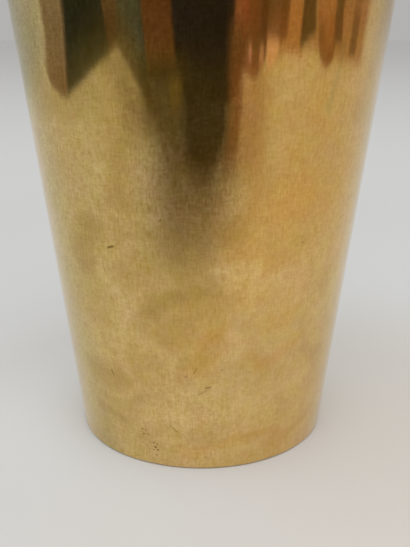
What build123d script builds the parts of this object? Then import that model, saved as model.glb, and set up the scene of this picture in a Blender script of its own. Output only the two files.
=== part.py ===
from build123d import *

import os
from math import acos, cos, radians, sin, tan

# A cast and turned bronze beaker vessel: a straight cone that widens upwards, and flares
# to a trumpet mouth. The casting is open at the foot, and a separate disc, let into a
# rebate from below and soldered in, closes it.
# Millimetres. +Z is up, and the origin is the centre of the foot, on the table.

# Body: the outer cone, the two stretches of the flare above it, and the lip
foot_radius = 38.0  # where the outer cone meets the table, before the heel is rounded
wall = 2.4
cone_angle = 7.0  # degrees from upright
cone_height = 150.0  # from the table up to the flare
shoulder_height = 55.0  # the slow stretch of the flare
shoulder_turn = 6.0  # degrees that the wall leans further out over that stretch
mouth_height = 43.0  # the quick stretch of the flare, to the top of the lip
mouth_turn = 19.0  # degrees that the wall leans further out over that stretch
lip_swell = 1.8  # how far the lip stands out of the outer face
lip_neck_round = 1.2

# Foot: the ring that the vessel stands on, and the rebate above it
heel_round = 1.0
foot_width = 5.6
foot_inner_round = 0.6
ledge_width = 2.9
ledge_thickness = 2.2
ledge_slope = 32.0  # degrees above level, where the inside runs from the ledge to the wall
ledge_edge_round = 1.0
inside_corner_round = 9.0

# Base plate: the disc in the rebate
recess_depth = 3.4  # from the table up to the disc's underside
plate_thickness = 2.6
plate_gap = 0.15  # around the disc's edge
plate_chamfer = 0.8
plate_edge_round = 0.3
centre_mark_radius = 1.1  # what the lathe's centre left on the underside
centre_mark_depth = 0.8

# Solder: a fillet inside, and a bead in the groove underneath
fillet_leg = 1.8
fillet_hollow = 0.3  # how far the fillet's face is drawn in
bead_reach = 0.5  # how far the bead runs down the foot's bore, below the disc
bead_hollow = 0.1  # how far the bead's face is drawn in

# Places that follow from the sizes above
foot_bore_radius = foot_radius - foot_width
ledge_bore_radius = foot_bore_radius - ledge_width
plate_radius = foot_bore_radius - plate_gap
plate_top = recess_depth + plate_thickness
ledge_top = plate_top + ledge_thickness
lip_radius = (wall + lip_swell) / 2

# How far the wall leans from upright: on the cone, between the two stretches of the flare,
# and at the lip
cone = radians(cone_angle)
shoulder = radians(cone_angle + shoulder_turn)
mouth = radians(cone_angle + shoulder_turn + mouth_turn)


def in_from(centre, radius, depth, angle):
    """The point depth inside an arc of the outer face, where the wall leans out by angle."""
    reach = radius + depth
    return (centre[0] - reach * cos(angle), centre[1] + reach * sin(angle))


# The flare is two arcs, tangent to the cone and to each other, and centred outside the
# vessel. Each arc's radius is what makes its stretch as high as it is.
flare_start = (foot_radius + cone_height * tan(cone), cone_height)
shoulder_radius = shoulder_height / (sin(shoulder) - sin(cone))
shoulder_centre = (
    flare_start[0] + shoulder_radius * cos(cone),
    flare_start[1] - shoulder_radius * sin(cone),
)
shoulder_end = in_from(shoulder_centre, shoulder_radius, 0, shoulder)

# The lip is round. It is flush with the inner face, and swells out of the outer face.
lip_depth = wall - lip_radius
mouth_radius = (mouth_height - lip_radius - lip_depth * sin(mouth)) / (sin(mouth) - sin(shoulder))
mouth_centre = (
    shoulder_end[0] + mouth_radius * cos(shoulder),
    shoulder_end[1] - mouth_radius * sin(shoulder),
)
lip_centre = in_from(mouth_centre, mouth_radius, lip_depth, mouth)
lip_top = (lip_centre[0] + lip_radius * sin(mouth), lip_centre[1] + lip_radius * cos(mouth))
lip_inside = in_from(mouth_centre, mouth_radius, wall, mouth)

# The lip's circle cuts the outer face a little below the lip's own angle.
lip_reach = mouth_radius + lip_depth
lip_neck_drop = acos(
    (lip_reach**2 + mouth_radius**2 - lip_radius**2) / (2 * lip_reach * mouth_radius)
)
lip_neck = in_from(mouth_centre, mouth_radius, 0, mouth - lip_neck_drop)

# The inside corner is where the slope above the ledge meets the inner face of the cone.
inner_foot_radius = foot_radius - wall / cos(cone)
slope = tan(radians(ledge_slope))
corner_radius = (inner_foot_radius + (ledge_top - ledge_bore_radius * slope) * tan(cone)) / (
    1 - slope * tan(cone)
)
inside_corner = (corner_radius, ledge_top + (corner_radius - ledge_bore_radius) * slope)


def corner_near(section, point):
    """The corner of a section that lies nearest to a point of the section."""
    return section.vertices().sort_by_distance((point[0], point[1], 0))[0]


# Vessel body: one casting, from the foot ring to the lip
with BuildPart() as vessel_body:
    with BuildSketch(Plane.XZ) as body_section:
        with BuildLine():
            Line((foot_bore_radius, 0), (foot_radius, 0))
            Line((foot_radius, 0), flare_start)
            RadiusArc(flare_start, shoulder_end, shoulder_radius)
            RadiusArc(shoulder_end, lip_neck, mouth_radius)
            ThreePointArc(lip_neck, lip_top, lip_inside)
            mouth_start_inside = in_from(mouth_centre, mouth_radius, wall, shoulder)
            RadiusArc(lip_inside, mouth_start_inside, -mouth_radius - wall)
            flare_start_inside = in_from(shoulder_centre, shoulder_radius, wall, cone)
            RadiusArc(mouth_start_inside, flare_start_inside, -shoulder_radius - wall)
            Polyline(
                flare_start_inside,
                inside_corner,
                (ledge_bore_radius, ledge_top),
                (ledge_bore_radius, plate_top),
                (foot_bore_radius, plate_top),
                (foot_bore_radius, 0),
            )
        make_face()
        fillet(corner_near(body_section, lip_neck), lip_neck_round)
        fillet(corner_near(body_section, inside_corner), inside_corner_round)
        fillet(corner_near(body_section, (ledge_bore_radius, ledge_top)), ledge_edge_round)
        fillet(corner_near(body_section, (foot_bore_radius, 0)), foot_inner_round)
        fillet(corner_near(body_section, (foot_radius, 0)), heel_round)
    revolve(axis=Axis.Z)
vessel_body.part.label = "vessel_body"

# Base plate: pushed up against the ledge from below
with BuildPart() as base_plate:
    with BuildSketch(Plane.XY.offset(recess_depth)):
        Circle(plate_radius)
    extrude(amount=plate_thickness)
    chamfer(base_plate.faces().sort_by(Axis.Z)[0].edges(), plate_chamfer)
    fillet(base_plate.faces().sort_by(Axis.Z)[-1].edges(), plate_edge_round)
    with BuildSketch(Plane.XZ) as centre_mark:
        with BuildLine():
            Polyline(
                (0, recess_depth),
                (centre_mark_radius, recess_depth),
                (0, recess_depth + centre_mark_depth),
                close=True,
            )
        make_face()
    revolve(axis=Axis.Z, mode=Mode.SUBTRACT)
base_plate.part.label = "base_plate"

# Inner solder fillet: runs around the plate's top, against the ledge's bore
with BuildPart() as inner_solder_fillet:
    with BuildSketch(Plane.XZ):
        with BuildLine():
            fillet_foot = (ledge_bore_radius - fillet_leg, plate_top)
            fillet_corner = (ledge_bore_radius, plate_top)
            fillet_crest = (ledge_bore_radius, plate_top + fillet_leg)
            Polyline(fillet_foot, fillet_corner, fillet_crest)
            SagittaArc(fillet_crest, fillet_foot, fillet_hollow)
        make_face()
    revolve(axis=Axis.Z)
inner_solder_fillet.part.label = "inner_solder_fillet"

# Underside solder bead: fills the groove between the plate's chamfer and the foot's bore
with BuildPart() as underside_solder_bead:
    with BuildSketch(Plane.XZ):
        with BuildLine():
            groove_foot = (plate_radius - plate_chamfer, recess_depth)
            groove_edge = (plate_radius, recess_depth + plate_chamfer)
            groove_top = (foot_bore_radius, recess_depth + plate_chamfer)
            bead_tip = (foot_bore_radius, recess_depth - bead_reach)
            Polyline(groove_foot, groove_edge, groove_top, bead_tip)
            SagittaArc(bead_tip, groove_foot, -bead_hollow)
        make_face()
    revolve(axis=Axis.Z)
underside_solder_bead.part.label = "underside_solder_bead"

os.makedirs("parts", exist_ok=True)
export_step(vessel_body.part, "parts/vessel_body.step")
export_step(base_plate.part, "parts/base_plate.step")
export_step(inner_solder_fillet.part, "parts/inner_solder_fillet.step")
export_step(underside_solder_bead.part, "parts/underside_solder_bead.step")
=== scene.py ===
from math import acos, atan2, ceil, cos, dist, pi, radians, sin, tan

import bpy
from bpy.props import FloatProperty, FloatVectorProperty, IntProperty, PointerProperty
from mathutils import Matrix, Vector


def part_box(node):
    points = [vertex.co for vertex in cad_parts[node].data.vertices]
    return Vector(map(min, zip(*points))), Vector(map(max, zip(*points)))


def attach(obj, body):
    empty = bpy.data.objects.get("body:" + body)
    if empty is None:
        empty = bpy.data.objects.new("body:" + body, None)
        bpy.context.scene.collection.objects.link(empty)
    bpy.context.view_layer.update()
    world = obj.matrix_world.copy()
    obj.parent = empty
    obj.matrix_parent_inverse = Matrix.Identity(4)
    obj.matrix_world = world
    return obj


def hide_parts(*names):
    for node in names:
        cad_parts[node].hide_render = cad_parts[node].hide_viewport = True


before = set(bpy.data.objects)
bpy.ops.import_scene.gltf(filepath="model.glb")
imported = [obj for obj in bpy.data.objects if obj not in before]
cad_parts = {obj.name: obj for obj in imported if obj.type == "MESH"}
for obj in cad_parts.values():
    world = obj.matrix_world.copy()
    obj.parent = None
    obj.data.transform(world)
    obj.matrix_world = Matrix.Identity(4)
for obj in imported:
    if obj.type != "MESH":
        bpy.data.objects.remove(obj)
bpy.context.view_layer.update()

bl_info = {
    "name": "Bronze Beaker Vessel",
    "version": (1, 0, 0),
    "blender": (4, 5, 0),
    "location": "View3D > Sidebar > Vessel",
    "description": "Turns a bronze beaker vessel, finishes its metal and sets up its studio",
    "category": "Object",
}

_, body_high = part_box("vessel_body")
plate_low, plate_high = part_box("base_plate")
solder_low, solder_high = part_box("inner_solder_fillet")
bead_low, bead_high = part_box("underside_solder_bead")

MM = 0.001
SAME_PLACE = 1e-7  # in metres: two points closer than this are one
GROOVE_STEPS = 6  # how many stretches one turned groove is drawn in


def length(name, default, description):
    """A property that holds a length in metres."""
    return FloatProperty(
        name=name, description=description, default=default, subtype="DISTANCE", unit="LENGTH"
    )


def lean(name, degrees, description):
    """A property that holds an angle."""
    return FloatProperty(
        name=name, description=description, default=radians(degrees), subtype="ANGLE", unit="ROTATION"
    )


def share(name, default, description):
    """A property that holds a share from none to all."""
    return FloatProperty(name=name, description=description, default=default, min=0, max=1)


def paint(name, default, description):
    """A property that holds a colour, as linear light."""
    return FloatVectorProperty(
        name=name, description=description, default=default, subtype="COLOR", size=3, min=0, max=1
    )


class VesselSizes(bpy.types.PropertyGroup):
    """The sizes of the vessel's wall, foot and base."""

    height: length("Height", body_high.z, "From the table to the top of the lip")
    foot_radius: length("Foot radius", 38.0 * MM, "Where the cone meets the table")
    wall: length("Wall", 2.4 * MM, "Thickness of the cast wall")
    cone_angle: lean("Cone angle", 7.0, "How far the straight wall leans out from upright")
    cone_height: length("Cone height", 150.0 * MM, "From the table up to the flare")
    shoulder_height: length("Shoulder height", 55.0 * MM, "The slow stretch of the flare")
    shoulder_turn: lean("Shoulder turn", 6.0, "How much further the wall leans out over it")
    mouth_turn: lean("Mouth turn", 19.0, "How much further the wall leans out up to the lip")
    lip_swell: length("Lip swell", 1.8 * MM, "How far the lip stands out of the outer face")
    lip_neck_round: length("Lip neck round", 1.2 * MM, "The hollow under the lip")
    heel_round: length("Heel round", 1.0 * MM, "The foot's outer edge")
    foot_width: length("Foot width", 5.6 * MM, "The ring that the vessel stands on")
    foot_inner_round: length("Foot inner round", 0.6 * MM, "The foot's inner edge")
    ledge_width: length("Ledge width", 2.9 * MM, "The ledge above the base plate")
    ledge_thickness: length("Ledge thickness", 2.2 * MM, "The ledge's edge")
    ledge_slope: lean("Ledge slope", 32.0, "How steeply the inside rises from the ledge")
    ledge_edge_round: length("Ledge edge round", 1.0 * MM, "The ledge's upper edge")
    inside_corner_round: length("Inside corner round", 9.0 * MM, "Where the slope meets the wall")
    plate_chamfer: length("Plate chamfer", 0.8 * MM, "The plate's lower edge")
    plate_edge_round: length("Plate edge round", 0.3 * MM, "The plate's upper edge")
    groove_pitch: length("Groove pitch", 1.3 * MM, "From one turned groove to the next, underneath")
    groove_depth: length("Groove depth", 0.10 * MM, "How deep the turned grooves are")
    centre_mark_radius: length("Centre mark", 1.1 * MM, "What the lathe's centre left")
    centre_mark_depth: length("Centre mark depth", 0.8 * MM, "How deep it goes")
    fillet_hollow: length("Fillet hollow", 0.3 * MM, "How far the inner solder is drawn in")
    bead_hollow: length("Bead hollow", 0.1 * MM, "How far the outer solder is drawn in")
    segments: IntProperty(
        name="Segments", description="Facets around the vessel", default=400, min=48, max=720
    )


class VesselFinish(bpy.types.PropertyGroup):
    """The colours of the metal and how rough it is."""

    bright: paint("Bright bronze", (0.80, 0.56, 0.225), "Where the metal is clean")
    warm: paint("Warm tarnish", (0.78, 0.42, 0.10), "The orange patches")
    olive: paint("Olive tarnish", (0.64, 0.50, 0.19), "The greenish patches")
    brown: paint("Brown tarnish", (0.44, 0.27, 0.055), "The few dark patches")
    pit: paint("Pits and marks", (0.15, 0.075, 0.004), "What has settled in the marks on the wall")
    inner: paint("Inside", (0.30, 0.18, 0.08), "The unpolished metal inside")
    solder: paint("Solder", (0.30, 0.29, 0.27), "The dull soft solder")
    polish: share("Roughness", 0.05, "The polished outside's roughness")
    grain: share("Grain", 0.35, "How far the polish lines stretch the reflections")


class StudioSettings(bpy.types.PropertyGroup):
    """The floor, the light and the camera."""

    floor_near: paint("Floor", (0.635, 0.64, 0.635), "The floor around the vessel")
    floor_far: paint("Floor far away", (0.655, 0.645, 0.635), "The floor where it ends")
    # Painted light: warm light that the vessel reflects onto the floor beside it.
    floor_warm_light: paint("Warm floor", (0.67, 0.63, 0.58), "Where the vessel warms the floor beside it")
    # Painted light: the floor is lighter around the vessel, to offset the shade that the vessel casts.
    floor_lightened: paint("Floor close by", (0.74, 0.75, 0.75), "The floor that the vessel shades")
    floor_lit: paint("Floor at the foot", (0.81, 0.84, 0.86), "Where the vessel throws light on the floor")
    # Painted shade: a soft darker patch on the floor, in front on the left.
    floor_front_shade: paint("Floor in front", (0.63, 0.645, 0.64), "Where the floor dims, in front on the left")
    floor_fade: length("Floor fade", 2.0, "How far out the floor's colour changes")
    sky: paint("Background", (0.45, 0.44, 0.43), "What is seen past the floor")
    sky_above: paint("Background above", (0.85, 0.85, 0.85), "What reflections see overhead")
    world_light: FloatProperty(
        name="World light", description="Strength of the light from all around", default=0.62, min=0
    )
    lamp_light: FloatProperty(
        name="Lamp light", description="Power of the soft lamp in watts", default=32.0, min=0
    )
    camera_distance: length("Camera distance", 236.4 * MM, "From the axis, level")
    camera_height: length("Camera height", 119.7 * MM, "Above the table")
    camera_side: length("Camera side", 1.0 * MM, "To the right of the axis")
    camera_pitch: lean("Camera pitch", 17.2, "How far the camera looks down")


def polar(radius, azimuth, height=0.0):
    """A point at that distance from the axis. Azimuth 0 is the front, and grows to the right."""
    return Vector((radius * sin(azimuth), -radius * cos(azimuth), height))


class Outline:
    """Half a section, as points of radius and height, in order."""

    def __init__(self, step, turn=radians(8.0)):
        self.points = []
        self.step = step
        self.turn = turn

    def add(self, point):
        """One more point, unless it is where the last one is."""
        if not self.points or dist(point, self.points[-1]) > SAME_PLACE:
            self.points.append((point[0], point[1]))

    def line(self, end, hold=0.15 * MM):
        """A straight stretch, with a point held close to each end so that its shading stays flat."""
        start = self.points[-1]
        run = dist(start, end)
        if run < SAME_PLACE:
            return
        shares = [0.0, 1.0]
        if run > 4 * hold:
            pieces = max(1, ceil(run / self.step))
            inner = [hold / run + (1 - 2 * hold / run) * k / pieces for k in range(pieces + 1)]
            shares = [0.0, *inner, 1.0]
        for s in shares:
            self.add((start[0] + (end[0] - start[0]) * s, start[1] + (end[1] - start[1]) * s))

    def arc(self, centre, radius, first, last):
        """A round stretch about centre, from one angle to another."""
        swing = last - first
        pieces = max(2, ceil(abs(swing) / self.turn), ceil(abs(swing) * radius / self.step))
        for k in range(pieces + 1):
            angle = first + swing * k / pieces
            self.add((centre[0] + radius * cos(angle), centre[1] + radius * sin(angle)))

    def corner(self, before, at, after, radius):
        """A rounded corner between two straight stretches; the first of them is drawn too."""
        a = Vector((before[0] - at[0], before[1] - at[1])).normalized()
        b = Vector((after[0] - at[0], after[1] - at[1])).normalized()
        half = acos(max(-1.0, min(1.0, a.dot(b)))) / 2
        reach = radius / tan(half)
        start = Vector(at) + a * reach
        end = Vector(at) + b * reach
        centre = Vector(at) + (a + b).normalized() * (radius / sin(half))
        first = atan2(start.y - centre.y, start.x - centre.x)
        last = atan2(end.y - centre.y, end.x - centre.x)
        swing = (last - first + pi) % (2 * pi) - pi
        self.line((start.x, start.y))
        self.arc(centre, radius, first, first + swing)


def circles_meet(centre_a, radius_a, centre_b, radius_b):
    """The lower of the two points where two circles cross."""
    a, b = Vector(centre_a), Vector(centre_b)
    apart = (b - a).length
    along = (radius_a**2 - radius_b**2 + apart**2) / (2 * apart)
    across = (radius_a**2 - along**2) ** 0.5
    axis = (b - a) / apart
    side = Vector((-axis.y, axis.x))
    return min((a + axis * along + side * s for s in (across, -across)), key=lambda p: p.y)


def on_arc(centre, radius, angle):
    """The point of an arc about centre where the wall leans out by that angle.

    From a point of the arc, a negative radius gives its centre.
    """
    return (centre[0] - radius * cos(angle), centre[1] + radius * sin(angle))


def body_outline(sizes):
    """The body's section: up the outside, over the lip, down the inside and round the rebate."""
    cone = sizes.cone_angle
    shoulder = cone + sizes.shoulder_turn
    mouth = shoulder + sizes.mouth_turn
    lip_radius = (sizes.wall + sizes.lip_swell) / 2
    lip_depth = sizes.wall - lip_radius
    mouth_height = sizes.height - sizes.cone_height - sizes.shoulder_height

    flare = (sizes.foot_radius + sizes.cone_height * tan(cone), sizes.cone_height)
    shoulder_radius = sizes.shoulder_height / (sin(shoulder) - sin(cone))
    shoulder_centre = on_arc(flare, -shoulder_radius, cone)
    shoulder_end = on_arc(shoulder_centre, shoulder_radius, shoulder)
    mouth_radius = (mouth_height - lip_radius - lip_depth * sin(mouth)) / (sin(mouth) - sin(shoulder))
    mouth_centre = on_arc(shoulder_end, -mouth_radius, shoulder)
    lip_centre = on_arc(mouth_centre, mouth_radius + lip_depth, mouth)
    neck = sizes.lip_neck_round
    neck_centre = circles_meet(mouth_centre, mouth_radius - neck, lip_centre, lip_radius + neck)
    neck_low = atan2(neck_centre.y - mouth_centre[1], neck_centre.x - mouth_centre[0])
    neck_high = atan2(lip_centre[1] - neck_centre.y, lip_centre[0] - neck_centre.x)

    bore = sizes.foot_radius - sizes.foot_width
    ledge_bore = bore - sizes.ledge_width
    seat = plate_high.z
    ledge_top = seat + sizes.ledge_thickness
    inner_foot = sizes.foot_radius - sizes.wall / cos(cone)
    slope = tan(sizes.ledge_slope)
    corner_radius = (inner_foot + (ledge_top - ledge_bore * slope) * tan(cone)) / (1 - slope * tan(cone))
    corner = (corner_radius, ledge_top + (corner_radius - ledge_bore) * slope)
    flare_inside = on_arc(flare, sizes.wall, cone)

    shape = Outline(step=3.4 * MM)
    shape.add((bore + sizes.foot_inner_round, 0))
    shape.corner((bore, 0), (sizes.foot_radius, 0), flare, sizes.heel_round)
    shape.line(flare)
    shape.arc(shoulder_centre, shoulder_radius, pi - cone, pi - shoulder)
    shape.arc(mouth_centre, mouth_radius, pi - shoulder, neck_low)
    shape.arc(neck_centre, neck, neck_low, neck_high)
    shape.arc(lip_centre, lip_radius, neck_high - pi, pi - mouth)
    shape.arc(mouth_centre, mouth_radius + sizes.wall, pi - mouth, pi - shoulder)
    shape.arc(shoulder_centre, shoulder_radius + sizes.wall, pi - shoulder, pi - cone)
    shape.corner(flare_inside, corner, (ledge_bore, ledge_top), sizes.inside_corner_round)
    shape.corner(corner, (ledge_bore, ledge_top), (ledge_bore, seat), sizes.ledge_edge_round)
    shape.line((ledge_bore, seat))
    shape.line((bore, seat))
    shape.corner((bore, seat), (bore, 0), (sizes.foot_radius, 0), sizes.foot_inner_round)
    return shape.points


def plate_outline(sizes):
    """The base plate's section, from the centre mark underneath out to the edge, and in on top."""
    radius = plate_high.x
    top, bottom = plate_high.z, plate_low.z
    flat_end = radius - sizes.plate_chamfer
    shape = Outline(step=4.0 * MM)
    shape.add((0, bottom + sizes.centre_mark_depth))
    shape.line((sizes.centre_mark_radius, bottom))
    plain_radius = 3 * sizes.centre_mark_radius
    grooves = int((flat_end - plain_radius) / sizes.groove_pitch)
    first = flat_end - grooves * sizes.groove_pitch
    for groove in range(grooves):
        start = first + groove * sizes.groove_pitch
        shape.line((start, bottom))
        for k in range(1, GROOVE_STEPS):
            part = k / GROOVE_STEPS
            depth = sizes.groove_depth * (1 - cos(2 * pi * part)) / 2
            shape.add((start + sizes.groove_pitch * part, bottom + depth))
    shape.line((flat_end, bottom))
    shape.line((radius, bottom + sizes.plate_chamfer))
    shape.corner((radius, bottom), (radius, top), (0, top), sizes.plate_edge_round)
    shape.line((0, top))
    return shape.points


def hollow_stretch(shape, start, end, hollow, pieces=8):
    """A shallow arc from start to end, drawn in by hollow on the left of the way there."""
    way = Vector(end) - Vector(start)
    left = Vector((-way.y, way.x)).normalized()
    for k in range(1, pieces + 1):
        s = k / pieces
        point = Vector(start) + way * s + left * (4 * hollow * s * (1 - s))
        shape.add((point.x, point.y))


def fillet_outline(sizes):
    """The solder inside: against the ledge's bore and on the plate."""
    outer, top = solder_high.x, solder_high.z
    shape = Outline(step=0.4 * MM)
    leg = top - solder_low.z
    shape.add((outer - leg, solder_low.z))
    shape.line((outer, solder_low.z))
    shape.line((outer, top))
    hollow_stretch(shape, (outer, top), (outer - leg, solder_low.z), sizes.fillet_hollow)
    return shape.points[:-1]


def bead_outline(sizes):
    """The solder underneath: in the groove between the plate's chamfer and the foot's bore."""
    outer = bead_high.x
    tip = (outer, bead_low.z)
    foot = (plate_high.x - sizes.plate_chamfer, plate_low.z)
    shape = Outline(step=0.4 * MM)
    shape.add(tip)
    shape.line((outer, bead_high.z))
    shape.line((plate_high.x, bead_high.z))
    shape.line(foot)
    hollow_stretch(shape, foot, tip, sizes.bead_hollow)
    return shape.points[:-1]


def group_input(tree, name, kind, default=None, in_out="INPUT"):
    """One named socket of a node group."""
    socket = tree.interface.new_socket(name=name, in_out=in_out, socket_type="NodeSocket" + kind)
    if default is not None:
        socket.default_value = default


def join(tree, source, target):
    """A link. A plain value is set on the socket instead."""
    if isinstance(source, bpy.types.NodeSocket):
        tree.links.new(source, target)
    else:
        target.default_value = source


def add(tree, kind, values=(), **settings):
    """A node of that kind with its settings, and with values for its inputs, in order or by name."""
    node = tree.nodes.new(kind)
    for name, setting in settings.items():
        setattr(node, name, setting)
    for socket, value in values.items() if isinstance(values, dict) else enumerate(values):
        join(tree, value, node.inputs[socket])
    return node


def calc(tree, operation, *values):
    """The result of a Math node."""
    return add(tree, "ShaderNodeMath", values, operation=operation).outputs[0]


def weighed(tree, start, *pairs):
    """A sum that begins at start, and adds each value times its weight."""
    for value, weight in pairs:
        start = calc(tree, "MULTIPLY_ADD", value, weight, start)
    return start


def vector_calc(tree, operation, *values):
    """The outputs of a Vector Math node: a vector, and then a number."""
    return add(tree, "ShaderNodeVectorMath", values, operation=operation).outputs


def scaled(tree, vector, factor):
    """A vector times a number."""
    values = {"Vector": vector, "Scale": factor}
    return add(tree, "ShaderNodeVectorMath", values, operation="SCALE").outputs[0]


def split(tree, vector):
    """The three numbers of a vector."""
    return add(tree, "ShaderNodeSeparateXYZ", [vector]).outputs


def combine(tree, *numbers):
    """A vector of three numbers."""
    return add(tree, "ShaderNodeCombineXYZ", numbers).outputs[0]


def from_axis(tree, place):
    """The level direction from the axis to a point, one long."""
    level = vector_calc(tree, "MULTIPLY", place, (1, 1, 0))[0]
    return vector_calc(tree, "NORMALIZE", level)[0]


def ramp(tree, value, low, high, to_low=0.0, to_high=1.0, smooth=True):
    """A value taken from one range to another, and held at its ends."""
    names = ("Value", "From Min", "From Max", "To Min", "To Max")
    values = dict(zip(names, (value, low, high, to_low, to_high)))
    ease_in = "SMOOTHSTEP" if smooth else "LINEAR"
    return add(tree, "ShaderNodeMapRange", values, interpolation_type=ease_in).outputs["Result"]


def noise(tree, place, scale, detail, roughness=0.5, seed=None):
    """The outputs of a noise texture. A seed picks one of many patterns."""
    values = {"Vector": place, "Scale": scale, "Detail": detail, "Roughness": roughness}
    if seed is None:
        return add(tree, "ShaderNodeTexNoise", values).outputs
    return add(tree, "ShaderNodeTexNoise", {**values, "W": seed}, noise_dimensions="4D").outputs


def blend_colours(tree, factor, first, second, mode="MIX"):
    """Two colours, mixed by factor."""
    node = add(tree, "ShaderNodeMix", data_type="RGBA", blend_type=mode, clamp_factor=True)
    join(tree, factor, node.inputs["Factor"])
    for colour, socket in zip((first, second), [s for s in node.inputs if s.type == "RGBA"]):
        join(tree, colour if isinstance(colour, bpy.types.NodeSocket) else (*colour, 1.0), socket)
    return [s for s in node.outputs if s.type == "RGBA"][0]


def mix_shaders(tree, factor, first, second, output):
    """Two shaders mixed by factor, and put out by a node of that kind."""
    values = (factor, first.outputs[0], second.outputs[0])
    mixed = add(tree, "ShaderNodeMixShader", values)
    add(tree, output, {"Surface": mixed.outputs[0]})


# The circle that an outline is swept along, how near to each other points are welded, and how
# far a face leans towards the axis before it counts as the inside
PATH_RADIUS = 10 * MM
WELD_REACH = 0.002 * MM
FACES_INWARD = -0.05


def lathe_tree():
    """Geometry Nodes that turn an outline about the upright axis, a little unevenly."""
    tree = bpy.data.node_groups.new("turn_on_axis", "GeometryNodeTree")
    for name, kind, default in (
        ("Outline", "Geometry", None),
        ("Segments", "Int", 400),
        ("Unevenness", "Float", 0.0),
        ("Unevenness Size", "Float", 30 * MM),
        ("Seed", "Float", 0.0),
        ("Outside", "Material", None),
        ("Inside", "Material", None),
    ):
        group_input(tree, name, kind, default)
    group_input(tree, "Turned", "Geometry", in_out="OUTPUT")
    given = add(tree, "NodeGroupInput").outputs

    profile = add(tree, "GeometryNodeMeshToCurve", {"Mesh": given["Outline"]}).outputs["Curve"]
    circle = {"Resolution": given["Segments"], "Radius": PATH_RADIUS}
    path = add(tree, "GeometryNodeCurvePrimitiveCircle", circle, mode="RADIUS").outputs["Curve"]
    path = add(tree, "GeometryNodeSetCurveNormal", {"Curve": path}, mode="Z_UP").outputs["Curve"]
    swept = {"Curve": path, "Profile Curve": profile}
    mesh = add(tree, "GeometryNodeCurveToMesh", swept).outputs["Mesh"]
    mesh = add(tree, "GeometryNodeFlipFaces", {"Mesh": mesh}).outputs["Mesh"]
    near = {"Geometry": mesh, "Distance": WELD_REACH}
    shape = add(tree, "GeometryNodeMergeByDistance", near).outputs["Geometry"]

    place = add(tree, "GeometryNodeInputPosition").outputs[0]
    scale = calc(tree, "DIVIDE", 1.0, given["Unevenness Size"])
    bumps = noise(tree, place, scale, detail=1.0, seed=given["Seed"])
    swing = calc(tree, "MULTIPLY", calc(tree, "SUBTRACT", bumps["Fac"], 0.5), 2.0)
    outwards = from_axis(tree, place)
    offset = scaled(tree, outwards, calc(tree, "MULTIPLY", swing, given["Unevenness"]))
    moved = {"Geometry": shape, "Offset": offset}
    shape = add(tree, "GeometryNodeSetPosition", moved).outputs["Geometry"]
    shape = add(tree, "GeometryNodeSetShadeSmooth", {"Geometry": shape}).outputs["Geometry"]
    shape = add(tree, "GeometryNodeRealizeInstances", {"Geometry": shape}).outputs["Geometry"]

    normal = add(tree, "GeometryNodeInputNormal").outputs[0]
    facing = vector_calc(tree, "DOT_PRODUCT", normal, outwards)[1]
    limit = {"A": facing, "B": FACES_INWARD}
    inward = add(tree, "FunctionNodeCompare", limit, data_type="FLOAT", operation="LESS_THAN")
    outside = {"Geometry": shape, "Material": given["Outside"]}
    shape = add(tree, "GeometryNodeSetMaterial", outside).outputs["Geometry"]
    inside = {"Geometry": shape, "Selection": inward.outputs["Result"], "Material": given["Inside"]}
    shape = add(tree, "GeometryNodeSetMaterial", inside).outputs["Geometry"]
    add(tree, "NodeGroupOutput", {"Turned": shape})
    return tree


def turn(name, points, outside, inside, sizes, closed=True, unevenness=0.0, grain=30 * MM, seed=0.0):
    """A plain mesh of an outline turned about the axis, with its materials."""
    tree = bpy.data.node_groups.get("turn_on_axis") or lathe_tree()
    outline = bpy.data.meshes.new(name + "_outline")
    corners = [(r - PATH_RADIUS, -z, 0) for r, z in points]
    count = len(corners)
    edges = [(k, (k + 1) % count) for k in range(count if closed else count - 1)]
    outline.from_pydata(corners, edges, [])
    blank = bpy.data.objects.new(name, outline)
    bpy.context.collection.objects.link(blank)
    modifier = blank.modifiers.new("Turn", "NODES")
    modifier.node_group = tree
    values = {
        "Segments": sizes.segments,
        "Unevenness": unevenness,
        "Unevenness Size": grain,
        "Seed": seed,
        "Outside": outside,
        "Inside": inside,
    }
    for item in tree.interface.items_tree:
        if item.item_type == "SOCKET" and item.in_out == "INPUT" and item.name in values:
            modifier[item.identifier] = values[item.name]
    graph = bpy.context.evaluated_depsgraph_get()
    mesh = bpy.data.meshes.new_from_object(blank.evaluated_get(graph), depsgraph=graph)
    blank.modifiers.remove(modifier)
    blank.data = mesh
    mesh.name = name
    bpy.data.meshes.remove(outline)
    return blank


def shader_group(name, result, **inputs):
    """An empty shader node group: its tree, its inputs by name, and the socket of its result.

    Besides the place, each input is a vector or a number, as its default is.
    """
    tree = bpy.data.node_groups.new(name, "ShaderNodeTree")
    group_input(tree, "Place", "Vector")
    for socket, default in inputs.items():
        kind = "Vector" if isinstance(default, tuple) else "Float"
        group_input(tree, socket.replace("_", " "), kind, default)
    group_input(tree, result, "Float", in_out="OUTPUT")
    given = add(tree, "NodeGroupInput").outputs
    return tree, given, add(tree, "NodeGroupOutput").inputs[result]


# The wall's radius where the lines around it are as far apart as their steps say
WALL_RADIUS = 50 * MM


def hand_lines_group():
    """Fine lines that run up the wall or around it, by which of the two steps is longer."""
    tree, given, result = shader_group("hand_lines", "Lines", Across=0.6 * MM, Along=30 * MM)
    outwards = split(tree, from_axis(tree, given["Place"]))
    around = calc(tree, "DIVIDE", WALL_RADIUS, given["Across"])
    steps = [calc(tree, "MULTIPLY", outwards[k], around) for k in (0, 1)]
    up = calc(tree, "DIVIDE", split(tree, given["Place"])[2], given["Along"])
    lines = noise(tree, combine(tree, *steps, up), scale=1.0, detail=2.0, roughness=0.6)
    join(tree, ramp(tree, lines["Fac"], 0.25, 0.75, smooth=False), result)
    return tree


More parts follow.
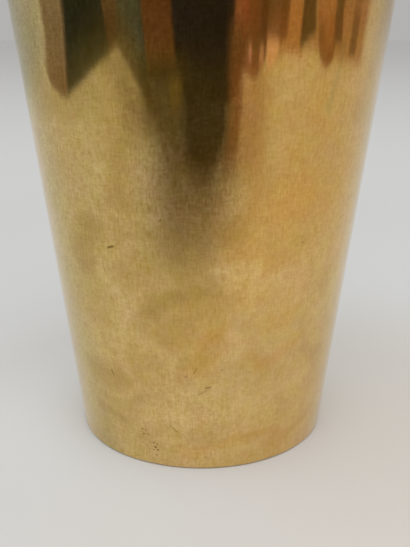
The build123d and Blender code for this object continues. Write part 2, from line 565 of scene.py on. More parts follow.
def tarnish_group():
    """Cloudy patches of one size."""
    sizes = {"Patch_Size": 20 * MM, "Bareness": 0.5, "Edge": 0.12, "Seed": 0.0}
    tree, given, result = shader_group("tarnish_cloud", "Patches", **sizes)
    scale = calc(tree, "DIVIDE", 1.0, given["Patch Size"])
    cloud = noise(tree, given["Place"], scale, detail=5.0, roughness=0.55, seed=given["Seed"])
    low = calc(tree, "SUBTRACT", given["Bareness"], given["Edge"])
    high = calc(tree, "ADD", given["Bareness"], given["Edge"])
    join(tree, ramp(tree, cloud["Fac"], low, high), result)
    return tree


def pits_group():
    """Small round pits, scattered."""
    sizes = {"Spacing": 6 * MM, "Pit_Size": 0.3 * MM, "Share": 0.3}
    tree, given, result = shader_group("casting_pits", "Pits", **sizes)
    scale = calc(tree, "DIVIDE", 1.0, given["Spacing"])
    cells = add(tree, "ShaderNodeTexVoronoi", {"Vector": given["Place"], "Scale": scale}).outputs
    reach = calc(tree, "MULTIPLY", cells["Distance"], given["Spacing"])
    chosen = calc(tree, "LESS_THAN", split(tree, cells["Color"])[0], given["Share"])
    join(tree, calc(tree, "MULTIPLY", ramp(tree, reach, given["Pit Size"], 0.0), chosen), result)
    return tree


def mark_group():
    """One elongated mark or stain at a place on the wall."""
    where = {"Centre": (0, 0, 0), "Direction": (1, 0, 0)}
    sizes = {"Half_Length": 1 * MM, "Half_Width": 0.3 * MM}
    tree, given, result = shader_group("wall_mark", "Mark", **where, **sizes)
    offset = vector_calc(tree, "SUBTRACT", given["Place"], given["Centre"])[0]
    along = vector_calc(tree, "DOT_PRODUCT", offset, given["Direction"])[1]
    least = calc(tree, "MULTIPLY", given["Half Length"], -1.0)
    held = calc(tree, "MINIMUM", calc(tree, "MAXIMUM", along, least), given["Half Length"])
    off = vector_calc(tree, "SUBTRACT", offset, scaled(tree, given["Direction"], held))[0]
    join(tree, ramp(tree, vector_calc(tree, "LENGTH", off)[1], given["Half Width"], 0.0), result)
    return tree


def use_group(tree, name, make, **values):
    """The result of a node group with its own values. It is built when it is first asked for."""
    group = bpy.data.node_groups.get(name) or make()
    named = {socket.replace("_", " "): value for socket, value in values.items()}
    return add(tree, "ShaderNodeGroup", named, node_tree=group).outputs[0]


def clouds(tree, place, size, bareness, edge, seed):
    """Cloudy patches of a size in mm, from 0 on clean metal to 1."""
    values = {"Patch_Size": size * MM, "Bareness": bareness, "Edge": edge, "Seed": seed}
    return use_group(tree, "tarnish_cloud", tarnish_group, Place=place, **values)


def hand_lines(tree, place, across, along):
    """Fine lines, by their steps in mm around the wall and up it."""
    values = {"Across": across * MM, "Along": along * MM}
    return use_group(tree, "hand_lines", hand_lines_group, Place=place, **values)


def wall_mark(tree, place, sizes, azimuth, z, long, wide, tilt):
    """A mark or stain on the straight part of the wall, from 1 along its middle to 0 around it."""
    azimuth, z, tilt = radians(azimuth), z * MM, radians(tilt)
    around = Vector((cos(azimuth), sin(azimuth), 0))
    upwards = polar(sin(sizes.cone_angle), azimuth, cos(sizes.cone_angle))
    values = {
        "Centre": polar(sizes.foot_radius + z * tan(sizes.cone_angle), azimuth, z),
        "Direction": around * cos(tilt) + upwards * sin(tilt),
        "Half_Length": long * MM / 2,
        "Half_Width": wide * MM / 2,
    }
    return use_group(tree, "wall_mark", mark_group, Place=place, **values)


def strongest(tree, so_far, shape, much):
    """The larger of what is there already and much of a shape."""
    if not much:
        return so_far
    return calc(tree, "MAXIMUM", so_far, calc(tree, "MULTIPLY", shape, much))


def emptied(holder):
    """The node tree of a material or a world, without its nodes."""
    holder.use_nodes = True
    holder.node_tree.nodes.clear()
    return holder.node_tree


def new_material(name):
    """A new material without nodes, its tree, and the place on the object."""
    material = bpy.data.materials.new(name)
    tree = emptied(material)
    return material, tree, add(tree, "ShaderNodeTexCoord").outputs["Object"]


def surface(tree, values):
    """The material's surface, from values for the sockets of its shader."""
    shader = add(tree, "ShaderNodeBsdfPrincipled", values)
    add(tree, "ShaderNodeOutputMaterial", {"Surface": shader.outputs[0]})


def bumped(tree, height, distance):
    """The normal of a surface with a bump of that height."""
    values = {"Strength": 1.0, "Distance": distance, "Height": height}
    return add(tree, "ShaderNodeBump", values).outputs[0]


# Cloudy patches: their size in mm, how bare the metal is between them, how soft their edges
# are, and which pattern of the noise they take
PATCHES = {
    "warm": (34, 0.50, 0.14, 1),
    "olive": (21, 0.52, 0.12, 4),
    "brown": (13, 0.58, 0.10, 8),
    "mottle": (3.5, 0.50, 0.20, 2),
    "speckle": (0.9, 0.52, 0.15, 6),
    "blush": (5.5, 0.50, 0.15, 11),
}

# The strokes of the polish: their steps in mm around the wall and up it
STROKES = {"upright": (0.5, 2.4), "level": (2.4, 0.5), "streaks": (1.0, 6.0)}

# The noise that sways the strokes, and the stains around the wall and up it
SWAY_SCALE = 75
STROKE_SWAY = (1.2 * MM, 1.2 * MM, 1.2 * MM)
STAIN_SWAY = (16 * MM, 0, 16 * MM)

# The tarnish that the metal has all over: how much the patches carry, and a little more brown
WARM_ALL_OVER = 0.22
OLIVE_ALL_OVER = 0.25
BROWN_ALL_OVER = 0.26
BROWN_AT_LEAST = 0.12

# What multiplies the red, the green and the blue of the metal: where it starts, and how much
# of the tone and of the tint is added. Then where the tone starts, and what the strokes come
# to on average
TONE_SHADES = ((0.713, 0.87, 0.0), (0.635, 1.15, 0.05), (0.294, 2.2, -0.12))
TONE_START = 0.266
STROKES_MEAN = 0.217

# How high the fine lines stand and how deep the pits are, the clear coat outside, and the turn
# of the reflections' stretch as a share of a full turn
LINE_HEIGHT = 0.0012 * MM
PIT_DEPTH = 0.02 * MM
COAT = 0.35
COAT_ROUGHNESS = 0.12
QUARTER_TURN = 0.25

# The marks on the wall: azimuth from the front in degrees, height in mm, length and width in
# mm, how far the mark leans from level in degrees, and how much has settled in it
WALL_MARKS = (
    (-30.5, 66, 1.7, 1.1, 18, 0.8),
    (34.7, 66.8, 0.3, 0.8, 0, 0.55),
    (-12.3, 74.6, 0.4, 0.7, 70, 0.65),
    (2.5, 26.9, 1.1, 1.15, 10, 0.55),
    (0.6, 25.4, 3.6, 0.28, 32, 0.6),
    (-36.9, 27.9, 1.5, 0.7, -65, 0.65),
    (18.3, 30.8, 0.4, 0.4, -10, 0.65),
    (7.5, 32.3, 0.2, 0.6, 0, 0.65),
    (-2.1, 32.2, 1.9, 0.55, 65, 0.45),
    (-5.8, 30.2, 0.3, 0.7, 30, 0.6),
    (-11.2, 13.2, 2.8, 0.5, -42, 0.55),
    (32.4, 15.8, 1.5, 0.45, 68, 0.4),
    (-25.2, 11.6, 0.1, 0.75, 0, 1),
    (-23.6, 11.4, 0.2, 0.6, 40, 0.9),
    (-24.6, 10, 0.2, 0.7, 0, 1),
    (-22.8, 10.2, 0.1, 0.6, 0, 0.9),
    (-20.4, 7.6, 0.1, 0.75, 0, 1),
    (-18.8, 7.3, 0.1, 0.7, 0, 0.9),
    (-19.6, 6.2, 0.2, 0.9, 0, 1),
    (-20.6, 5.2, 0.1, 0.7, 0, 0.9),
    (-18.7, 5.4, 0.1, 0.8, 0, 1),
    (-19.3, 3.6, 0.1, 0.65, 0, 0.9),
    (150, 60, 2.4, 0.6, 30, 0.8),
    (-120, 110, 1.8, 0.6, -30, 0.7),
    (95, 40, 1, 0.7, 10, 0.7),
    (-160, 25, 0.9, 0.8, 70, 0.7),
)

# The stains on the wall: their place, size and lean as above, and how much of the warm, the
# olive and the brown tarnish they carry
WALL_STAINS = (
    (32, 98, 34, 96, 90, 1, 0, 0.28),
    (16, 100, 32, 26, 90, 1, 0, 0.42),
    (18, 74, 24, 40, 80, 0.9, 0, 0.28),
    (14, 76, 12, 22, 60, 1, 0, 0.5),
    (42, 74, 14, 34, 0, 0.55, 0, 0.22),
    (52, 88, 50, 30, 90, 0.5, 0, 0.1),
    (8, 46, 8, 14, 40, 0.25, 0, 0.18),
    (32, 47, 12, 12, 20, 0.5, 0, 0.16),
    (30, 36, 14, 10, 20, 0.5, 0, 0.14),
    (36, 8, 30, 12, 5, 0.5, 0, 0.24),
    (6, 7, 20, 8, 5, 0.5, 0, 0.14),
    (0, 17, 3, 10, 80, 0.4, 0, 0.22),
    (-32, 105, 40, 34, 0, 0.2, 0.2, 0.75),
    (-19, 106, 6, 22, 80, 0.4, 0, 0.75),
    (-44, 82, 60, 52, 90, 0, 0.25, 0.42),
    (-25, 99, 36, 28, 90, 0.4, 0, 0.74),
    (-24, 73, 8, 14, 0, 0.1, 0, 0.5),
    (-20, 69, 14, 13, 0, 0.2, 0, 0.58),
    (-56, 60, 110, 34, 90, 0, 0.7, 0.2),
    (-42, 67, 12, 24, 60, 0.1, 0.1, 0.75),
    (-20, 61, 24, 26, 15, 0, 0.1, 0.52),
    (-4, 60, 14, 30, 90, 0.2, 0, 0.72),
    (-3, 47, 16, 24, 40, 0.55, 0, 0.56),
    (-8.5, 53, 14, 22, 20, 0.2, 0, 0.85),
    (-28, 54, 34, 56, 90, 0.34, 0, 0),
    (3.5, 38.5, 10, 18, 60, 0.8, 0, 0.42),
    (-34, 48, 16, 22, 80, 0, 0.2, 0.4),
    (-24, 40, 8, 14, 60, 0, 0.1, 0.62),
    (-23, 32, 8, 14, 10, 0.1, 0.1, 0.4),
    (-41, 28, 12, 20, 10, 0.2, 0.1, 0.6),
    (-37, 14, 14, 14, 5, 0.1, 0.2, 0.62),
    (-7, 33, 8, 12, 60, 0.4, 0, 0.42),
    (-48, 12, 20, 22, 90, 0, 0.7, 0.4),
    (41, 109, 12, 9, 85, 0.4, 0.3, 0.52),
    (-32, 20, 12, 12, 10, 0.1, 0.2, 0.5),
)

# The places that are wiped cleaner, and the share of the tarnish that is gone in their middle
BARE_STAINS = (
    (-30.5, 50, 24, 12, -68),
    (22, 23, 28, 16, 10),
    (-18, 15, 16, 10, 10),
    (20, 58, 26, 12, 0),
    (-32, 36, 10, 10, -68),
)
WIPED_SHARE = 0.6


def stained(tree, place, swing, sizes, amounts):
    """The warm, olive and brown tarnish, with the stains on the wall added and the bare ones out."""
    outwards = from_axis(tree, place)
    around = vector_calc(tree, "CROSS_PRODUCT", (0, 0, 1), outwards)[0]
    sway = split(tree, vector_calc(tree, "MULTIPLY", swing, STAIN_SWAY)[0])
    rise = combine(tree, 0.0, 0.0, sway[2])
    drift = vector_calc(tree, "ADD", rise, scaled(tree, around, sway[0]))[0]
    spread = vector_calc(tree, "ADD", place, drift)[0]
    for *where, warm, olive, brown in WALL_STAINS:
        stain = wall_mark(tree, spread, sizes, *where)
        carried = zip(amounts, (warm, olive, brown))
        amounts = [strongest(tree, amount, stain, much) for amount, much in carried]
    kept = 1.0
    for where in BARE_STAINS:
        wiped = wall_mark(tree, spread, sizes, *where)
        kept = calc(tree, "MULTIPLY", kept, weighed(tree, 1.0, (wiped, -WIPED_SHARE)))
    return [calc(tree, "MULTIPLY", kept, amount) for amount in amounts]


def tarnished(tree, amounts, patches, lines, finish):
    """The colour of the metal under that much warm, olive and brown tarnish."""
    warm, olive, brown = amounts
    speckle, mottle, streaks = patches["speckle"], patches["mottle"], lines["streaks"]
    texture = weighed(tree, 0.3, (speckle, 0.35), (mottle, 0.4), (streaks, 0.5))
    colour = blend_colours(tree, warm, finish.bright, finish.warm)
    colour = blend_colours(tree, olive, colour, finish.olive)
    return blend_colours(tree, calc(tree, "MULTIPLY", brown, texture), colour, finish.brown)


def shaded(tree, place, fine, patches, lines):
    """What makes the metal's colour lighter and darker: the strokes, the mottle and the blush."""
    streaks, speckle = lines["streaks"], patches["speckle"]
    strokes = weighed(tree, -STROKES_MEAN, (fine, 0.25), (streaks, 0.10), (speckle, 0.11))

    # The strokes are fainter near the foot and on the right, where the wall is rubbed
    across, _, height = split(tree, place)
    strength = ramp(tree, height, 35 * MM, 75 * MM, 1.4, 1.95)
    strength = calc(tree, "MULTIPLY", strength, ramp(tree, across, -2 * MM, 16 * MM, 1.0, 0.66))
    tone = weighed(tree, TONE_START, (patches["mottle"], 0.11), (strokes, strength))
    tint = calc(tree, "SUBTRACT", patches["blush"], 0.5)
    shades = (weighed(tree, start, (tone, much), (tint, hue)) for start, much, hue in TONE_SHADES)
    return combine(tree, *shades)


def hollows(tree, place, sizes, side):
    """The casting's pits and, on the outside, the marks of use."""
    pits = {"Spacing": 7.5 * MM, "Pit_Size": 0.28 * MM, "Share": 0.35}
    hollow = use_group(tree, "casting_pits", pits_group, Place=place, **pits)
    if side == "outside":
        for *where, much in WALL_MARKS:
            hollow = strongest(tree, hollow, wall_mark(tree, place, sizes, *where), much)
    return hollow


def bronze(name, finish, sizes, side):
    """The metal. side is outside, inside or under, which differ in polish and tarnish."""
    material, tree, place = new_material(name)
    patches = {kind: clouds(tree, place, *values) for kind, values in PATCHES.items()}
    sways = noise(tree, place, SWAY_SCALE, detail=3.0)["Color"]
    swing = vector_calc(tree, "SUBTRACT", sways, (0.5, 0.5, 0.5))[0]
    wavy = vector_calc(tree, "MULTIPLY_ADD", swing, STROKE_SWAY, place)[0]
    lines = {kind: hand_lines(tree, wavy, *steps) for kind, steps in STROKES.items()}
    fine = weighed(tree, 0.0, (lines["upright"], 0.6), (lines["level"], 0.4))

    amounts = [
        calc(tree, "MULTIPLY", patches["warm"], WARM_ALL_OVER),
        calc(tree, "MULTIPLY", patches["olive"], OLIVE_ALL_OVER),
        weighed(tree, BROWN_AT_LEAST, (patches["brown"], BROWN_ALL_OVER)),
    ]
    if side == "outside":
        amounts = stained(tree, place, swing, sizes, amounts)
    colour = tarnished(tree, amounts, patches, lines, finish)
    shades = shaded(tree, place, fine, patches, lines)
    colour = blend_colours(tree, 1.0, colour, shades, mode="MULTIPLY")
    hollow = hollows(tree, place, sizes, side)
    colour = blend_colours(tree, hollow, colour, finish.pit)
    rough = weighed(tree, finish.polish, (patches["mottle"], 0.02), (hollow, 0.3))

    # The underside and the inside, below its top, were never polished
    dull, rougher = 0.9, 0.3
    if side == "inside":
        height = split(tree, place)[2]
        patina = ramp(tree, height, sizes.height - 4 * MM, sizes.height - 30 * MM)
        dull, rougher = (calc(tree, "MULTIPLY", patina, much) for much in (dull, rougher))
    if side != "outside":
        colour = blend_colours(tree, dull, colour, finish.inner)
        rough = calc(tree, "ADD", rough, rougher)
    relief = weighed(tree, 0.0, (fine, LINE_HEIGHT), (hollow, -PIT_DEPTH))
    values = {
        "Base Color": colour,
        "Roughness": rough,
        "Metallic": weighed(tree, 1.0, (hollow, -0.1)),
        "Anisotropic": finish.grain,
        "Anisotropic Rotation": QUARTER_TURN,
        "Normal": bumped(tree, relief, distance=1.0),
    }
    if side == "outside":
        values["Coat Weight"] = weighed(tree, COAT, (hollow, -COAT))
        values["Coat Roughness"] = COAT_ROUGHNESS
    surface(tree, values)
    return material


def soft_solder(finish):
    """Dull grey solder, a little lumpy."""
    material, tree, place = new_material("dull_solder")
    skin = clouds(tree, place, size=3.0, bareness=0.5, edge=0.2, seed=3.0)
    dark = [c * 0.5 for c in finish.solder]
    values = {
        "Base Color": blend_colours(tree, skin, finish.solder, dark),
        "Roughness": ramp(tree, skin, 0, 1, 0.45, 0.65),
        "Metallic": 0.85,
        "Normal": bumped(tree, skin, distance=0.1 * MM),
    }
    surface(tree, values)
    return material


def finish_piece(piece, node):
    """Puts a turned piece in the place of its CAD node."""
    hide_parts(node)
    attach(piece, "root")


class VESSEL_OT_body(bpy.types.Operator):
    """Turn the wall, from the foot to the lip, and give it its metal"""

    bl_idname = "vessel.body"
    bl_label = "Turn the Body"

    def execute(self, context):
        sizes, finish = context.scene.vessel_sizes, context.scene.vessel_finish
        outside = bronze("polished_bronze", finish, sizes, "outside")
        inside = bronze("inside_bronze", finish, sizes, "inside")
        uneven = {"unevenness": 0.03 * MM, "grain": 34 * MM, "seed": 5.0}
        body = turn("turned_body", body_outline(sizes), outside, inside, sizes, **uneven)
        finish_piece(body, "vessel_body")
        return {"FINISHED"}


class VESSEL_OT_base(bpy.types.Operator):
    """Turn the base plate, with the grooves that the tool left underneath"""

    bl_idname = "vessel.base"
    bl_label = "Turn the Base Plate"

    def execute(self, context):
        sizes, finish = context.scene.vessel_sizes, context.scene.vessel_finish
        metal = bronze("turned_bronze", finish, sizes, "under")
        points = plate_outline(sizes)
        plate = turn("turned_base_plate", points, metal, metal, sizes, closed=False)
        finish_piece(plate, "base_plate")
        return {"FINISHED"}


class VESSEL_OT_solder(bpy.types.Operator):
    """Run the two rings of solder around the base plate"""

    bl_idname = "vessel.solder"
    bl_label = "Run the Solder"

    def execute(self, context):
        sizes, finish = context.scene.vessel_sizes, context.scene.vessel_finish
        metal = soft_solder(finish)
        for name, points, node, lumps, seed in (
            ("solder_fillet", fillet_outline(sizes), "inner_solder_fillet", 0.10 * MM, 2.0),
            ("solder_bead", bead_outline(sizes), "underside_solder_bead", 0.05 * MM, 9.0),
        ):
            uneven = {"unevenness": lumps, "grain": 4 * MM, "seed": seed}
            ring = turn(name, points, metal, metal, sizes, **uneven)
            finish_piece(ring, node)
        return {"FINISHED"}


def card_material(name, low, high):
    """Glows in one colour near its foot and another higher up, and is clear where its cover is low; the
    glow is a painted reflection in the metal.
    """
    material = bpy.data.materials.new(name)
    tree = emptied(material)
    rise = add(tree, "ShaderNodeAttribute", attribute_name="rise")
    colour = blend_colours(tree, rise.outputs["Fac"], low, high)
    glow = add(tree, "ShaderNodeEmission", {"Color": colour})
    clear = add(tree, "ShaderNodeBsdfTransparent")
    cover = add(tree, "ShaderNodeAttribute", attribute_name="cover")
    mix_shaders(tree, cover.outputs["Fac"], clear, glow, "ShaderNodeOutputMaterial")
    return material


def ease(value):
    """A smooth step from 0 to 1."""
    value = max(0.0, min(1.0, value))
    return value * value * (3 - 2 * value)


def between(points, share_along):
    """The place that far along a row of points, by their first number."""
    first, last = points[0][0], points[-1][0]
    x = first + (last - first) * share_along
    for a, b in zip(points, points[1:]):
        if x <= b[0]:
            break
    return x, a[1] + (b[1] - a[1]) * (x - a[0]) / (b[0] - a[0])


# A card's columns and rows of faces. Then, in mm, how near to the floor it may start, up to
# what height its sides bend towards the top, over how long a way at least, and over how long
# a way its colour changes
CARD_GRID = (36, 30)
CARD_LOWEST = 0.5
CARD_BEND_END = 60
CARD_BEND_LEAST = 20
CARD_RISE = 45

# Glowing cards that only reflections see: painted reflections, standing around the vessel at a
# distance in mm. The foot is a row of places, as azimuth from the front in degrees and height in
# mm, and above the foot the sides lean to the azimuths of the top. Then how soft the sides
# (degrees) and the foot (mm) are, how tall the card is and how softly it ends there (mm), the
# colour near the foot and higher up, and how much the card covers.
CARDS = (
    ("pale_far_left", 620, ((-150, 4), (-103, 4)), (-150, -101), 14, 6, 300, 60,
     (0.56, 0.58, 0.52), (0.36, 0.40, 0.40), 0.7),
    ("tan_left", 440, ((-103.5, 50), (-99, 25), (-92, 10), (-86, 3.5)), (-98.5, -80), 4.5, 6, 220, 60,
     (0.27, 0.20, 0.16), (0.23, 0.19, 0.16), 0.95),
    ("dark_left", 455, ((-86.8, 2.5), (-73.4, 4.7), (-64.3, 8.3), (-55.4, 12.4), (-51.4, 14.8)),
     (-81.5, -54.5), 1.2, 6, 220, 60, (0.095, 0.10, 0.062), (0.027, 0.033, 0.030), 1),
    ("amber_left", 480, ((-58, 5), (-47.3, 10), (-44, 11.5)), (-56, -43.5), 1.5, 6, 220, 60,
     (0.13, 0.09, 0.045), (0.10, 0.065, 0.032), 0.97),
    ("grey_left", 340, ((-46, 48), (-41, 34), (-37.5, 25), (-34.1, 15), (-28.5, 5)), (-44, -31), 2, 9,
     220, 60, (0.13, 0.12, 0.065), (0.062, 0.072, 0.068), 0.97),
    ("red_left", 380, ((-33.7, 14), (-24.3, 6.4), (-12.5, 4.2)), (-32.2, -13), 1.5, 6, 220, 60,
     (0.145, 0.090, 0.040), (0.126, 0.064, 0.031), 1),
    ("olive_low", 230, ((-34, 46), (-26.5, 30), (-21.4, 18), (-7.5, 13)), (-30, -7.5), 11, 28, 70, 16,
     (0.125, 0.105, 0.045), (0.085, 0.072, 0.030), 0.92),
    ("olive_glow", 222, ((-16.6, 41), (-9.6, 41)), (-16.8, -9), 4, 9, 59, 7,
     (0.19, 0.155, 0.065), (0.20, 0.165, 0.065), 0.85),
    # A faint card that paints the reflection of a soft shadow on the floor
    ("ochre_haze", 250, ((-42, 24), (-23, 12)), (-46, -43), 22, 26, 74, 16,
     (0.22, 0.15, 0.045), (0.21, 0.155, 0.06), 0.5),
    ("black_centre", 330, ((-12.3, 9.3), (1.8, 5), (15.6, 6.5)), (-15.2, 18.6), 1.5, 8, 300, 60,
     (0.045, 0.038, 0.026), (0.026, 0.023, 0.025), 1),
    # A dark card that paints the reflection of a dark thing in front of the vessel and of its soft shadow
    # on the table
    ("black_tongue", 170, ((-10.5, 56), (-7.6, 43), (-4, 32), (1.9, 28), (6, 32), (11, 44), (13.3, 56)),
     (-9.2, 14.3), 6, 24, 84, 18, (0.056, 0.051, 0.027), (0.050, 0.045, 0.025), 0.98),
    ("brown_haze", 125, ((-29, 24), (16, 22)), (-28, 15), 34, 44, 84, 28,
     (0.14, 0.095, 0.05), (0.065, 0.05, 0.025), 0.82),
    ("orange_glow", 140, ((18, 44), (34, 44)), (17, 33), 12, 34, 94, 16,
     (0.44, 0.22, 0.10), (0.38, 0.165, 0.07), 0.48),
    ("red_right", 320, ((14.2, 6), (20.5, 19.5)), (17.2, 24.4), 2.2, 8, 220, 60,
     (0.22, 0.105, 0.055), (0.30, 0.12, 0.075), 0.97),
    ("rust_low", 176, ((10.5, 26), (19.5, 33)), (13.5, 21), 5, 30, 100, 16,
     (0.27, 0.165, 0.10), (0.14, 0.088, 0.045), 0.88),
    ("brown_right", 400,
     ((19, 9), (24, 7), (28, 3), (31, 4), (33.7, 11), (35.5, 20), (38, 30), (42, 32), (47, 37)),
     (21.5, 47.1), 1.8, 5, 220, 60, (0.24, 0.135, 0.085), (0.145, 0.09, 0.042), 0.97),
    ("russet_streak", 398, ((24.5, 31), (30.5, 33)), (23.5, 30.5), 3.5, 14, 220, 60,
     (0.22, 0.105, 0.055), (0.20, 0.10, 0.048), 0.9),
    ("umber_streak", 399, ((31.5, 22), (35.5, 26)), (31, 34.8), 2.2, 14, 220, 60,
     (0.15, 0.08, 0.04), (0.125, 0.065, 0.032), 0.85),
    # Small bright cards that paint glints in the metal
    ("pink_right_1", 396, ((25.6, 15), (27.4, 15)), (25.4, 27.2), 0.9, 5, 30, 6,
     (0.60, 0.37, 0.46), (0.56, 0.33, 0.38), 0.9),
    ("pink_right_2", 395, ((31.9, 14), (34, 14)), (31.7, 33.8), 0.9, 5, 32, 8,
     (0.66, 0.50, 0.58), (0.52, 0.36, 0.38), 0.9),
    ("pink_right_3", 394, ((35.8, 20), (38.2, 14), (40.2, 20), (42.4, 29)), (34.6, 42.8), 1.8, 5, 39, 10,
     (0.84, 0.62, 0.64), (0.78, 0.55, 0.54), 0.95),
    ("amber_right", 412, ((41, 18), (47, 23), (57.5, 27)), (44, 53.9), 1.5, 12, 220, 60,
     (0.47, 0.31, 0.19), (0.44, 0.265, 0.155), 0.95),
    ("dark_right_1", 404, ((55.3, 31), (57.1, 33), (60.2, 40), (65, 49)), (55.2, 62.4), 1.5, 5, 220, 60,
     (0.145, 0.11, 0.065), (0.145, 0.105, 0.06), 1),
    ("orange_right", 402, ((67.4, 46), (70.2, 33), (74.4, 28), (78.2, 34), (80, 47)), (64.8, 77), 1.5, 6,
     220, 60, (0.30, 0.165, 0.085), (0.45, 0.27, 0.165), 0.95),
    ("brown_streak", 401, ((68, 44), (72, 46)), (66, 70.5), 1.5, 8, 62, 12,
     (0.22, 0.13, 0.06), (0.24, 0.14, 0.07), 0.5),
    ("dark_right_2", 403, ((78, 47), (85, 52)), (76.2, 82.5), 1.5, 6, 220, 60,
     (0.19, 0.125, 0.075), (0.17, 0.125, 0.055), 1),
    ("dark_right_3", 405, ((92.3, 48), (98.2, 52)), (91.5, 98), 2, 6, 105, 40,
     (0.22, 0.15, 0.10), (0.25, 0.155, 0.10), 0.9),
    ("amber_behind", 440, ((54, 19), (60, 25), (67, 28), (74, 27), (82, 30), (97, 40), (107, 49)),
     (52, 106), 7, 16, 220, 60, (0.43, 0.295, 0.185), (0.385, 0.255, 0.17), 0.95),
)


def stand_card(name, distance, foot, top, side_soft, foot_soft, tall, top_soft, low, high, cover):
    """One of the cards, with its cover and its change of colour kept as attributes."""
    columns, rows = CARD_GRID
    wide = foot[-1][0] - foot[0][0]
    corners, covers, rises, faces = [], [], [], []
    for j in range(rows + 1):
        for i in range(columns + 1):
            u = i / columns
            azimuth, foot_z = between(foot, u)
            start = max(CARD_LOWEST, foot_z - foot_soft / 2)
            z = start + (tall - start) * (j / rows) ** 2
            bend = (z - foot_z) / max(CARD_BEND_LEAST, CARD_BEND_END - foot_z)
            azimuth += (top[0] + (top[1] - top[0]) * u - azimuth) * max(0.0, min(1.0, bend))
            azimuth += side_soft * (u - 0.5)
            corners.append(polar(distance * MM, radians(azimuth), z * MM))
            side = ease(min(u, 1 - u) * (wide + side_soft) / side_soft)
            covers.append(cover * side * ease((z - start) / foot_soft) * ease((tall - z) / top_soft))
            rises.append(ease((z - foot_z) / CARD_RISE))
    for j in range(rows):
        for i in range(columns):
            k = j * (columns + 1) + i
            faces.append((k, k + 1, k + columns + 2, k + columns + 1))
    mesh = bpy.data.meshes.new(name)
    mesh.from_pydata(corners, [], faces)
    mesh.attributes.new("cover", "FLOAT", "POINT").data.foreach_set("value", covers)
    mesh.attributes.new("rise", "FLOAT", "POINT").data.foreach_set("value", rises)
    mesh.materials.append(card_material(name, low, high))
    card = bpy.data.objects.new(name, mesh)
    bpy.context.collection.objects.link(card)
    only_reflected(card)


def only_reflected(thing):
    """Hides an object from all but reflections."""
    for ray in ("camera", "diffuse", "shadow", "transmission", "volume_scatter"):
        setattr(thing, "visible_" + ray, False)


# How far the floor reaches in metres, how many corners it has, and the middles of the patch of
# painted shade and of the painted warm light that the vessel reflects beside it
FLOOR_REACH = 9.0
FLOOR_CORNERS = 96
FLOOR_SHADE_PLACE = (-0.25, -0.30, 0)
FLOOR_WARM_LIGHT_PLACE = polar(0.10, radians(60))


def studio_floor(studio):
    """A large pale disc that gets a little darker far away, with painted light and shade near the vessel:
    a lighter ring that offsets its shade, a pool of light at its foot, a patch of shade in front on the
    left and warm light beside it.
    """
    rim = [polar(FLOOR_REACH, 2 * pi * k / FLOOR_CORNERS) for k in range(FLOOR_CORNERS)]
    mesh = bpy.data.meshes.new("floor")
    mesh.from_pydata(rim, [], [tuple(range(FLOOR_CORNERS))])
    floor = bpy.data.objects.new("floor", mesh)
    bpy.context.collection.objects.link(floor)
    material, tree, place = new_material("studio_floor")
    away = vector_calc(tree, "LENGTH", place)[1]
    fade = calc(tree, "EXPONENT", calc(tree, "DIVIDE", away, -studio.floor_fade))
    colour = blend_colours(tree, fade, studio.floor_far, studio.floor_near)
    before = vector_calc(tree, "DISTANCE", place, FLOOR_SHADE_PLACE)[1]
    beside = vector_calc(tree, "DISTANCE", place, FLOOR_WARM_LIGHT_PLACE)[1]
    # Painted light and shade on the floor: the lighter ring, the pool of light at the foot, the patch of
    # shade in front and the warm light beside the vessel
    for spot, reach, outer, inner, much in (
        (studio.floor_lightened, away, 0.34, 0.04, 1.0),
        (studio.floor_lit, away, 0.085, 0.043, 1.0),
        (studio.floor_front_shade, before, 0.36, 0.22, 1.0),
        (studio.floor_warm_light, beside, 0.20, 0.03, 0.8),
    ):
        colour = blend_colours(tree, ramp(tree, reach, outer, inner, 0.0, much), colour, spot)
    surface(tree, {"Base Color": colour, "Roughness": 0.7, "Specular IOR Level": 0.1})
    mesh.materials.append(material)


def studio_world(studio):
    """Plain light from all around. The camera and reflections see a backdrop in its place."""
    world = bpy.data.worlds.new("studio")
    tree = emptied(world)
    white = {"Color": (1.0, 1.0, 1.0, 1.0), "Strength": studio.world_light}
    light = add(tree, "ShaderNodeBackground", white)
    way = split(tree, add(tree, "ShaderNodeTexCoord").outputs["Generated"])
    above = ramp(tree, way[2], 0.15, 0.9)
    colour = blend_colours(tree, above, studio.sky, studio.sky_above)
    backdrop = add(tree, "ShaderNodeBackground", {"Color": colour})
    path = add(tree, "ShaderNodeLightPath")
    seen = calc(tree, "MAXIMUM", path.outputs["Is Camera Ray"], path.outputs["Is Glossy Ray"])
    mix_shaders(tree, seen, light, backdrop, "ShaderNodeOutputWorld")
    bpy.context.scene.world = world


def soft_lamp(place, aim, size, power):
    """A square lamp that looks at a point, and that reflections don't see."""
    lamp = bpy.data.lights.new("soft_lamp", "AREA")
    lamp.shape = "SQUARE"
    lamp.size = size
    lamp.energy = power
    holder = bpy.data.objects.new("soft_lamp", lamp)
    holder.location = place
    holder.rotation_euler = (Vector(aim) - Vector(place)).to_track_quat("-Z", "Y").to_euler()
    holder.visible_glossy = False
    bpy.context.collection.objects.link(holder)


# The camera's sensor in mm, and in pixels how tall the picture is and how far from it a
# pinhole would be
SENSOR_WIDE = 36.0
FRAME_PIXELS_TALL = 547
FOCAL_PIXELS = 790.0


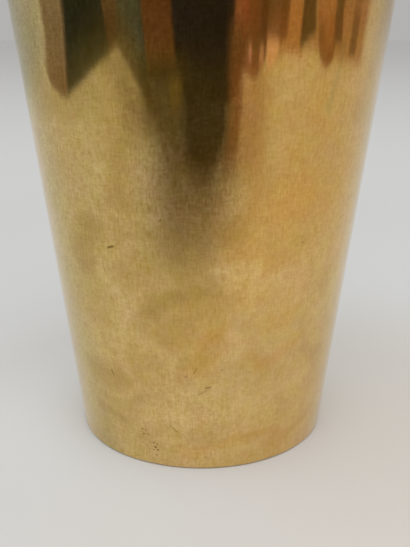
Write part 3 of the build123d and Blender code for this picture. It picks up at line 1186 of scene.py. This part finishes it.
def studio_camera(studio):
    """The camera of the photograph, a little above the table and looking down at the foot."""
    camera = bpy.data.cameras.new("camera")
    camera.sensor_fit = "AUTO"
    camera.sensor_width = SENSOR_WIDE
    camera.lens = SENSOR_WIDE * FOCAL_PIXELS / FRAME_PIXELS_TALL
    holder = bpy.data.objects.new("camera", camera)
    holder.location = (studio.camera_side, -studio.camera_distance, studio.camera_height)
    holder.rotation_euler = (pi / 2 - studio.camera_pitch, 0, 0)
    camera.clip_start = 0.01
    camera.clip_end = 50.0
    bpy.context.collection.objects.link(holder)
    bpy.context.scene.camera = holder


class VESSEL_OT_stage(bpy.types.Operator):
    """Lay the floor, set the light and stand the cards and the camera"""

    bl_idname = "vessel.stage"
    bl_label = "Set the Stage"

    def execute(self, context):
        studio = context.scene.vessel_studio
        studio_floor(studio)
        studio_world(studio)
        for card in CARDS:
            stand_card(*card)
        soft_lamp(place=(0.1, -0.9, 1.9), aim=(0, 0, 0.1), size=2.6, power=studio.lamp_light)
        studio_camera(studio)
        context.scene.view_settings.view_transform = "Standard"
        return {"FINISHED"}


class VIEW3D_PT_vessel(bpy.types.Panel):
    """The vessel's sizes, finish and studio, and the steps that make it"""

    bl_label = "Bronze Beaker Vessel"
    bl_idname = "VIEW3D_PT_vessel"
    bl_space_type = "VIEW_3D"
    bl_region_type = "UI"
    bl_category = "Vessel"

    def draw(self, context):
        scene = context.scene
        for step in STEPS:
            self.layout.operator(step.bl_idname)
        for group in (scene.vessel_sizes, scene.vessel_finish, scene.vessel_studio):
            column = self.layout.column(align=True)
            for name in group.__annotations__:
                column.prop(group, name)


STEPS = (VESSEL_OT_body, VESSEL_OT_base, VESSEL_OT_solder, VESSEL_OT_stage)
GROUPS = (
    ("vessel_sizes", VesselSizes),
    ("vessel_finish", VesselFinish),
    ("vessel_studio", StudioSettings),
)


def register():
    for name, group in GROUPS:
        bpy.utils.register_class(group)
        setattr(bpy.types.Scene, name, PointerProperty(type=group))
    for step in STEPS:
        bpy.utils.register_class(step)
    bpy.utils.register_class(VIEW3D_PT_vessel)


def unregister():
    bpy.utils.unregister_class(VIEW3D_PT_vessel)
    for step in reversed(STEPS):
        bpy.utils.unregister_class(step)
    for name, group in reversed(GROUPS):
        delattr(bpy.types.Scene, name)
        bpy.utils.unregister_class(group)


def main():
    """Makes the pieces and the stage, in order."""
    register()
    bpy.ops.vessel.body()
    bpy.ops.vessel.base()
    bpy.ops.vessel.solder()
    bpy.ops.vessel.stage()


if __name__ == "__main__":
    main()
